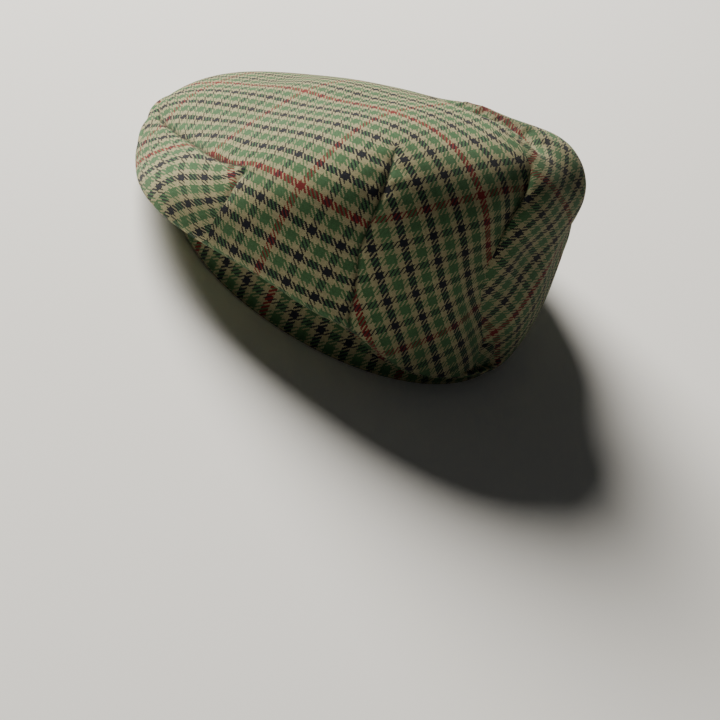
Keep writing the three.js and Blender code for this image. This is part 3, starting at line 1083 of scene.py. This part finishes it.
@dataclass(frozen=True)
class CheckTwill:
    """Wool check in a 2 and 2 twill, with the same order of threads lengthwise and across.

    The threads repeat in blocks: a dark stripe, cream, a green stripe, cream. The dark
    stripe is navy in four blocks and crimson in every fifth. `cover` is how many of four
    thread widths the lengthwise threads show over the crosswise ones. Hair strays over the
    threads, heather speckles them and clouds run over the whole cloth: their sizes are
    noise scales to the metre, and the spreads say how far each lightens and darkens.
    `between` is the shade between the threads, and `crosswise_key` sets the crosswise
    threads' random tones apart from the lengthwise ones.
    """

    name: str
    shift: tuple[float, float] = (0.0, 0.0)
    block: float = 0.014
    threads: tuple[int, int, int, int] = (6, 5, 8, 5)
    blocks: int = 5
    cover: float = 2.45
    cream: Dye = Dye(0.34, 0.315, 0.175)
    green: Dye = Dye(0.060, 0.140, 0.060)
    navy: Dye = Dye(0.008, 0.010, 0.018)
    crimson: Dye = Dye(0.17, 0.014, 0.016)
    hair: float = 900.0
    stray: float = 0.5
    heather: float = 2400.0
    heather_spread: float = 0.56
    cloud: float = 28.0
    cloud_spread: float = 0.2
    thread_spread: float = 0.28
    between: float = 0.52
    roundness: float = 0.6
    heather_bump: float = 0.35
    cloud_bump: float = 0.8
    crosswise_key: float = 0.37
    # how far the seam attribute's painted shade darkens the cloth, and its painted highlight lightens it
    painted_light_strength: float = 0.62
    relief: float = 0.00022
    sheen: float = 0.12

    def _stripe(self, graph: Graph, thread: Value) -> Value:
        """The dye of a thread: its place in the run of stripes.

        Args:
            graph: The material's nodes.
            thread: The thread's number.

        Returns:
            The thread's colour.
        """
        dark, cream, green, _ = self.threads
        count = float(sum(self.threads))
        place = thread % count
        fifth = ((thread / count).floor() % float(self.blocks)) > self.blocks - 1.5
        dyed = graph.mix(self.navy.rgba(), self.crimson.rgba(), fifth)
        inside = (place > dark + cream - 0.5) * (place < dark + cream + green - 0.5)
        rest = graph.mix(self.cream.rgba(), self.green.rgba(), inside)
        return graph.mix(rest, dyed, place < dark - 0.5)

    def _counts(self, graph: Graph, place: Value) -> tuple[Value, Value]:
        """How many threads lie before each place, lengthwise and across, hair strayed.

        Args:
            graph: The material's nodes.
            place: The place on the flat cloth.

        Returns:
            The two counts, with their fractions.
        """
        hair = graph.node("ShaderNodeTexNoise", {"noise_dimensions": "2D"},
                          {"Vector": place, "Scale": self.hair, "Detail": 2.0, "Roughness": 0.6})
        split = graph.node("ShaderNodeSeparateXYZ", None, {0: place})
        stray = graph.node("ShaderNodeSeparateColor", None, {0: hair.outputs["Color"]})
        pitch = self.block / sum(self.threads)
        u, v = ((Value(graph, split.outputs[side]) + self.shift[side]) / pitch
                + (Value(graph, stray.outputs[side]) - 0.5) * self.stray for side in (0, 1))
        return u, v

    def _weave(self, graph: Graph, place: Value) -> tuple[Value, Value, Value]:
        """The woven threads.

        Where (lengthwise count - crosswise count) modulo 4 is under the cover, the
        lengthwise thread is on top, else the crosswise one. Each float is a ridge that is
        round across and along: the square root of 4 x (1 - x), with x from 0 to 1 over it.

        Args:
            graph: The material's nodes.
            place: The place on the flat cloth.

        Returns:
            The thread's colour, the height of its float, and a random tone of its own.
        """
        u, v = self._counts(graph, place)
        i, j = u.floor(), v.floor()
        rise = (i - v + self.cover / 2.0) % 4.0
        over = rise < self.cover
        under = 1.0 - over
        across = over * u.fract() + under * v.fract()
        along = over * (rise / self.cover) + under * ((rise - self.cover) / (4.0 - self.cover))
        ridge = (across * (1.0 - across) * 4.0) ** 0.5
        crown = (along * (1.0 - along) * 4.0) ** 0.5
        colour = graph.mix(self._stripe(graph, j), self._stripe(graph, i), over)
        thread = graph.value("ShaderNodeCombineXYZ", None,
                             {0: i * over + under * self.crosswise_key, 1: j * under, 2: over})
        tone = graph.value("ShaderNodeTexWhiteNoise", {"noise_dimensions": "3D"}, {"Vector": thread})
        return colour, ridge * (crown * self.roundness + (1.0 - self.roundness)), tone

    @staticmethod
    def _vary(mask: Value, spread: float) -> Value:
        """1 give or take half the spread, as a mask goes from 0 to 1."""
        return mask * spread + (1.0 - spread / 2.0)

    def build(self) -> bpy.types.Material:
        """Make the material, on the flat cloth in the piece's UV map.

        Returns:
            The material.
        """
        graph = Graph(self.name)
        place = graph.value("ShaderNodeUVMap", {"uv_map": "cloth"})
        colour, height, tone = self._weave(graph, place)
        heather, cloud = (
            graph.value("ShaderNodeTexNoise", {"noise_dimensions": "2D"},
                        {"Vector": place, "Scale": scale, "Detail": detail})
            for scale, detail in ((self.heather, 1.0), (self.cloud, 3.0)))
        # the seam attribute: painted shade on sewn grooves and in the hollow, and a painted highlight below 0
        seam = graph.value("ShaderNodeAttribute", {"attribute_name": "seam"}, None, "Fac")
        shade = (height + 1.0) * self.between * self._vary(tone, self.thread_spread)
        shade = shade * self._vary(heather, self.heather_spread) * self._vary(cloud, self.cloud_spread)
        # darkened by painted shade, or lightened by painted highlight, from the seam attribute
        shade = shade * (1.0 - seam * self.painted_light_strength)
        shaded = graph.value("ShaderNodeCombineColor", None, {0: shade, 1: shade, 2: shade})
        bumps = height + heather * self.heather_bump + cloud * self.cloud_bump
        normal = graph.value("ShaderNodeBump", None,
                             {"Strength": 0.75, "Distance": self.relief, "Height": bumps})
        shader = graph.node("ShaderNodeBsdfPrincipled", None, {
            "Base Color": graph.mix(colour, shaded, 1.0, "MULTIPLY"), "Roughness": 0.94 - height * 0.08,
            "Normal": normal, "Specular IOR Level": 0.16, "Sheen Weight": self.sheen,
            "Sheen Roughness": 0.45, "Sheen Tint": (0.9, 0.9, 0.8, 1.0)})
        graph.node("ShaderNodeOutputMaterial", None, {"Surface": shader.outputs[0]})
        return graph.material


@dataclass(frozen=True)
class PlainSweep:
    """The studio floor's matt paint."""

    colour: Dye = Dye(0.88, 0.88, 0.87)

    def build(self) -> bpy.types.Material:
        """Make the material: pale paint with the faintest unevenness.

        Returns:
            The material.
        """
        graph = Graph("studio_sweep")
        place = graph.value("ShaderNodeTexCoord", None, None, "Object")
        cloud = graph.value("ShaderNodeTexNoise", None, {"Vector": place, "Scale": 2.0, "Detail": 2.0})
        base = graph.mix(self.colour.rgba(), Dye(0.91, 0.91, 0.90).rgba(), cloud)
        shader = graph.node("ShaderNodeBsdfPrincipled", None, {"Base Color": base, "Roughness": 0.85})
        graph.node("ShaderNodeOutputMaterial", None, {"Surface": shader.outputs[0]})
        return graph.material


# ---- pieces ----------------------------------------------------------------------------


@dataclass
class Crown:
    """The crown's cloth, from the middle of the top to the hem behind the tuck."""

    form: CrownForm = CrownForm()
    red: float = 57.75
    # share of the painted shade and highlight repeated on the inner face
    inner_shade: float = 0.5
    back_sewn: Reach = Reach(0.34, 0.05, 1.62, 0.05)
    front_sewn: Reach = Reach(-53.0, 2.0, 9.5, 0.5)
    dart_width: float = 0.9
    drop_sewn: Reach = Reach(0.62, 0.01, 0.76, 0.16)
    drop_width: float = 0.8
    # strength of the painted shade on the front drops and in the hollow, and of the painted highlight
    half_shade: float = 0.8
    hollow_off: float = -20.0
    hollow_width: float = 6.5
    # a painted highlight: a pale line just under the widest line, where the fold's edge catches the light
    edge_highlight_at: float = 1.06
    edge_highlight_width: float = 0.014

    def build(self, cloth: bpy.types.Material) -> bpy.types.Object:
        """Make the crown as one closed wall with the check laid over it.

        Args:
            cloth: The check's material.

        Returns:
            The crown.
        """
        form = self.form
        grid = CrownGrid(form)
        lay = CrownLay(grid)
        lay.flatten()
        flat = (lay.flat + complex(self.red, self.red)) * MM
        outer = lay.points
        inner = np.concatenate([grid.inner(grid.places()).reshape(-1, 3), form.apex(form.wall)[None]])
        step, columns = len(outer), grid.columns
        hem = (len(grid.tau) - 1) * columns + np.arange(columns)
        after = np.roll(hem, -1)
        rim = np.stack([hem, hem + step, after + step, after], axis=1)
        rim_flat = flat[lay.quad_slots[-columns:][:, [1, 1, 2, 2]]]
        faces = [np.concatenate([lay.quads, lay.quads[:, ::-1] + step, rim]),
                 np.concatenate([lay.fan, lay.fan[:, ::-1] + step])]
        corners = np.concatenate([flat[lay.quad_slots].ravel(), flat[lay.quad_slots[:, ::-1]].ravel(),
                                  rim_flat.ravel(), flat[lay.fan_slots].ravel(),
                                  flat[lay.fan_slots[:, ::-1]].ravel()])
        # painted shade and highlight for the outer face, and a share of them for the inner face
        seam = np.append(self._painted_light_marks(grid), 0.0)
        piece = make_mesh("crown_cloth", to_row(np.concatenate([outer, inner])), faces, corners,
                          np.concatenate([seam, seam * self.inner_shade]))
        piece.data.materials.append(cloth)
        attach(piece, "root")
        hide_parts("crown")
        return piece

    def _painted_light_marks(self, grid: CrownGrid) -> Array:
        """Painted shade and painted highlight for each place: painted shade is 1 on a sewn line's groove and
        fades within a millimetre or two.

        Painted shade darkens the hollow beside the ridge too. A painted highlight just under the widest line
        is below 0: paler.

        Args:
            grid: The crown's grid.

        Returns:
            A value for every place, row by row.
        """
        form, angle, out = self.form, grid.angle, grid.out
        mark = np.zeros_like(out)
        # painted shade in the grooves of the back darts
        line = form.back_dart.at(out)
        for seam in (line, 180.0 - line):
            off = turn_between(angle, seam) * ROUND
            mark = np.maximum(mark, self.back_sewn.share(out) * bell(off, self.dart_width))
        # painted shade in the grooves of the front darts, weaker along their drops to the hem
        for side in (angle, 180.0 - angle):
            at = turn_between(side, 0.0)
            off = (out - form.front_dart.at(at)) * DOWN
            mark = np.maximum(mark, self.front_sewn.share(at) * bell(off, self.dart_width))
            off = turn_between(side, form.front_drop.at(out)) * ROUND
            mark = np.maximum(mark, self.half_shade * self.drop_sewn.share(out) * bell(off, self.drop_width))
        # painted shade in the hollow beside the ridge, darkening its far wall
        place = form.plain(angle, out)
        off = form.beside_ridge(place) - self.hollow_off
        mark = np.maximum(mark, self.half_shade * form.deep(out, place) * bell(off, self.hollow_width))
        # minus a painted highlight just under the widest line, where the fold's edge catches the light
        return (mark - self.half_shade * bell(out - self.edge_highlight_at, self.edge_highlight_width)).ravel()


@dataclass
class Band:
    """The plain strip of cloth round the head opening."""

    opening: Opening = Opening()
    wall: float = 2.5
    heights: tuple[float, float] = (30.0, 19.0)
    roll: float = 1.2
    hollow: float = 0.15
    straight: float = 27.0
    columns: int = 300

    def build(self, cloth: bpy.types.Material) -> bpy.types.Object:
        """Make the band: a rounded strip section carried round the rim's oval.

        The section goes up its outer face, over the top, down the inner face and round the
        folded lower edge; the check follows its run and the run of the wall round the head.

        Args:
            cloth: The check's material.

        Returns:
            The band.
        """
        degrees = np.arange(self.columns) * 360.0 / self.columns
        section, run = self._section()
        grown, level, extra = (column[:, None] for column in section.T)
        high, low = self.heights
        height = high + (low - high) * self.opening.front_share(degrees)
        radius = self.opening.radius(degrees[None], grown) - self.hollow * np.sin(level * math.pi)
        up = level * (height[None] - 2 * self.roll) + extra
        c, s = np.cos(np.radians(degrees)), np.sin(np.radians(degrees))
        points = np.stack([radius * c, radius * s, self.opening.rim(degrees)[None] + up], axis=-1)
        faces = ring_faces(len(section), self.columns)
        middle = self.opening.radius(degrees, self.wall)
        x, y = middle * c, middle * s
        steps = np.hypot(np.diff(x, append=x[0]), np.diff(y, append=y[0]))
        length = np.concatenate([[0.0], np.cumsum(steps)])
        row, column = faces[:, 0] // self.columns, faces[:, 0] % self.columns
        upper = np.append(run, run[-1] + self.roll)
        u0, u1, v0, v1 = length[column], length[column + 1], upper[row], upper[row + 1]
        flat = np.stack([u0 + 1j * v0, u0 + 1j * v1, u1 + 1j * v1, u1 + 1j * v0], axis=1) * MM
        piece = make_mesh("band_cloth", to_row(points.reshape(-1, 3)), [faces], flat.ravel())
        piece.data.materials.append(cloth)
        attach(piece, "root")
        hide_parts("band")
        return piece

    def _section(self) -> tuple[Array, Array]:
        """The strip's section: straight faces with a quarter circle at each corner.

        Returns:
            Rows of distance grown, share of the straight height and extra height, and how
            far each row lies along the section.
        """
        r, w = self.roll, self.wall
        turn = np.linspace(0.0, math.pi / 2, 5)
        c, s = np.cos(turn), np.sin(turn)
        up = np.linspace(0.0, 1.0, 15)[1:-1]
        section = np.concatenate([
            np.stack([w - r + r * s, 0 * s, r - r * c], axis=1),
            np.stack([0 * up + w, up, 0 * up + r], axis=1),
            np.stack([w - r + r * c, 0 * c + 1, r + r * s], axis=1),
            np.stack([r - r * s, 0 * s + 1, r + r * c], axis=1),
            np.stack([0 * up, 1 - up, 0 * up + r], axis=1),
            np.stack([r - r * c, 0 * c, r - r * s], axis=1),
        ])
        grown, level, extra = np.diff(section, axis=0).T
        return section, np.concatenate([[0.0], np.cumsum(np.hypot(grown, level * self.straight + extra))])


@dataclass
class Peak:
    """The short stiff peak, covered with cloth above and below."""

    opening: Opening = Opening()
    band_wall: float = 2.5
    gap: float = 0.35
    thick: float = 3.0
    reach: float = 29.0
    corner: float = 1.2
    fullness: float = 1.2
    slope: float = 0.36
    rise: float = 0.5
    half_angle: float = 48.0
    rounding: float = 0.9
    flat_share: float = 0.97
    columns: int = 160

    def build(self, cloth: bpy.types.Material) -> bpy.types.Object:
        """Make the peak: a thin rounded section carried round the front of the rim.

        Its reach falls off as a power of a cosine from the middle to the two ends. The
        check is laid over it as seen from above.

        Args:
            cloth: The check's material.

        Returns:
            The peak.
        """
        turn = np.linspace(-self.half_angle, self.half_angle, self.columns)
        angle = np.radians(turn - 90.0)
        share = np.cos(np.radians(turn / self.half_angle * 90.0)).clip(0.0) ** self.fullness
        root = self.opening.radius(turn - 90.0, self.band_wall) + self.gap
        reach = self.corner + (self.reach - self.corner) * share
        base = self.opening.rim(turn - 90.0) + self.rise
        along, up = (column[:, None] for column in self._section())
        inset = self.rounding * (1 - np.sin(up * math.pi).clip(0.0) ** 0.5) * (along > self.flat_share)
        out = reach * along - inset
        z = np.maximum(base - self.slope * out, 0.0) + self.thick * up
        radius = root + out
        points = np.stack([radius * np.cos(angle), radius * np.sin(angle), z], axis=-1)
        count, n = len(along), self.columns
        strips = ring_faces(count, n)
        faces = strips[strips[:, 0] % n < n - 1]
        first = np.arange(count) * n
        ends = np.stack([first, (first + n - 1)[::-1]])
        places = (points[..., 0] + 1j * points[..., 1]).ravel() * MM
        corners = np.concatenate([places[faces].ravel(), places[ends].ravel()])
        piece = make_mesh("peak_cloth", to_row(points.reshape(-1, 3)), [faces, ends], corners)
        piece.data.materials.append(cloth)
        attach(piece, "root")
        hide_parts("peak")
        return piece

    def _section(self) -> tuple[Array, Array]:
        """The section, from the root out over the top, round the edge and back below.

        Returns:
            Shares of the reach, and shares of the thickness.
        """
        flat = np.linspace(0.0, self.flat_share, 12)
        turn = np.linspace(0.0, 1.0, 9)[1:-1]
        along = np.concatenate([flat, np.full(len(turn), 1.0), flat[::-1]])
        up = np.concatenate([np.ones_like(flat), 1.0 - turn, np.zeros_like(flat)])
        return along, up


# ---- studio ----------------------------------------------------------------------------


@dataclass(frozen=True)
class Viewpoint:
    """The camera: where it stands round the cap, and how its frame sits."""

    bearing: float = 50.4
    height: float = 29.8
    lean: float = 25.6
    distance: float = 0.8092
    lens: float = 79.8276
    shift: tuple[float, float] = (0.035972, -0.160417)

    def axes(self) -> tuple[Vector, Vector, Vector]:
        """The camera's own directions.

        Returns:
            Its right, its up, and the way back from the cap to it.
        """
        b, e, r = (math.radians(a) for a in (self.bearing, self.height, self.lean))
        back = Vector((math.sin(b) * math.cos(e), math.cos(b) * math.cos(e), math.sin(e)))
        right = Vector((-math.cos(b), math.sin(b), 0.0))
        up = Vector((-math.sin(b) * math.sin(e), -math.cos(b) * math.sin(e), math.cos(e)))
        return (math.cos(r) * right + math.sin(r) * up, math.cos(r) * up - math.sin(r) * right, back)

    def build(self) -> bpy.types.Object:
        """Make the camera and give it to the scene.

        Returns:
            The camera.
        """
        right, up, back = self.axes()
        data = bpy.data.cameras.new("view")
        data.sensor_width, data.lens = 36.0, self.lens
        data.shift_x, data.shift_y = self.shift
        camera = bpy.data.objects.new("view", data)
        bpy.context.scene.collection.objects.link(camera)
        turn = Matrix((right, up, back)).transposed().to_4x4()
        target = Vector((0.0, OPENING_BACK * MM, 0.0))
        camera.matrix_world = Matrix.Translation(target + back * self.distance) @ turn
        bpy.context.scene.camera = camera
        return camera


class LampSide(Enum):
    """Which way a softbox lies from the cap, in the row frame."""

    KEY = (0.03, -0.84, 0.55)
    FILL = (0.75, 0.75, 0.55)


@dataclass(frozen=True)
class Softbox:
    """A large soft lamp."""

    side: LampSide
    power: float
    size: float
    colour: tuple[float, float, float]
    distance: float = 2.2

    def build(self) -> bpy.types.Object:
        """Make the lamp, turned to face the cap.

        Returns:
            The lamp.
        """
        data = bpy.data.lights.new(f"softbox_{self.side.name.lower()}", "AREA")
        data.shape, data.size = "DISK", self.size
        data.energy, data.color = self.power, self.colour
        lamp = bpy.data.objects.new(data.name, data)
        bpy.context.scene.collection.objects.link(lamp)
        way = Vector(self.side.value).normalized()
        lamp.location = way * self.distance + Vector((0.0, 0.0, 0.05))
        lamp.rotation_euler = way.to_track_quat("Z", "Y").to_euler()
        return lamp


@dataclass(frozen=True)
class Studio:
    """The floor, the lamps and the air round them."""

    half_width: float = 8.0
    ambient: float = 0.03

    def build(self) -> None:
        """Lay the floor, hang the lamps and light the air."""
        w = self.half_width
        corners = np.array([(-w, -w, 0.0), (w, -w, 0.0), (w, w, 0.0), (-w, w, 0.0)])
        floor = make_mesh("studio_floor", corners, [np.array([[0, 1, 2, 3]])], np.zeros(4, dtype=complex))
        floor.data.materials.append(PlainSweep().build())
        world = bpy.data.worlds.new("studio_air")
        world.use_nodes = True
        background = world.node_tree.nodes["Background"]
        background.inputs["Color"].default_value = (1.0, 0.99, 0.97, 1.0)
        background.inputs["Strength"].default_value = self.ambient
        bpy.context.scene.world = world
        for lamp in (
            Softbox(LampSide.KEY, power=155.0, size=1.5, colour=(1.0, 0.95, 0.86)),
            Softbox(LampSide.FILL, power=0.4, size=2.0, colour=(0.92, 0.96, 1.0)),
        ):
            lamp.build()


def main() -> None:
    """Build the cap and its studio, and report each piece."""
    logging.basicConfig(level=logging.INFO, format="%(message)s")
    Viewpoint().build()
    for piece in (
        Crown().build(CheckTwill("check_wool").build()),
        Band().build(CheckTwill("band_wool", shift=(0.012, 0.004)).build()),
        Peak().build(CheckTwill("peak_wool", shift=(0.02, 0.011)).build()),
    ):
        LOG.info("%s: %d faces", piece.name, len(piece.data.polygons))
    Studio().build()


if __name__ == "__main__":
    main()
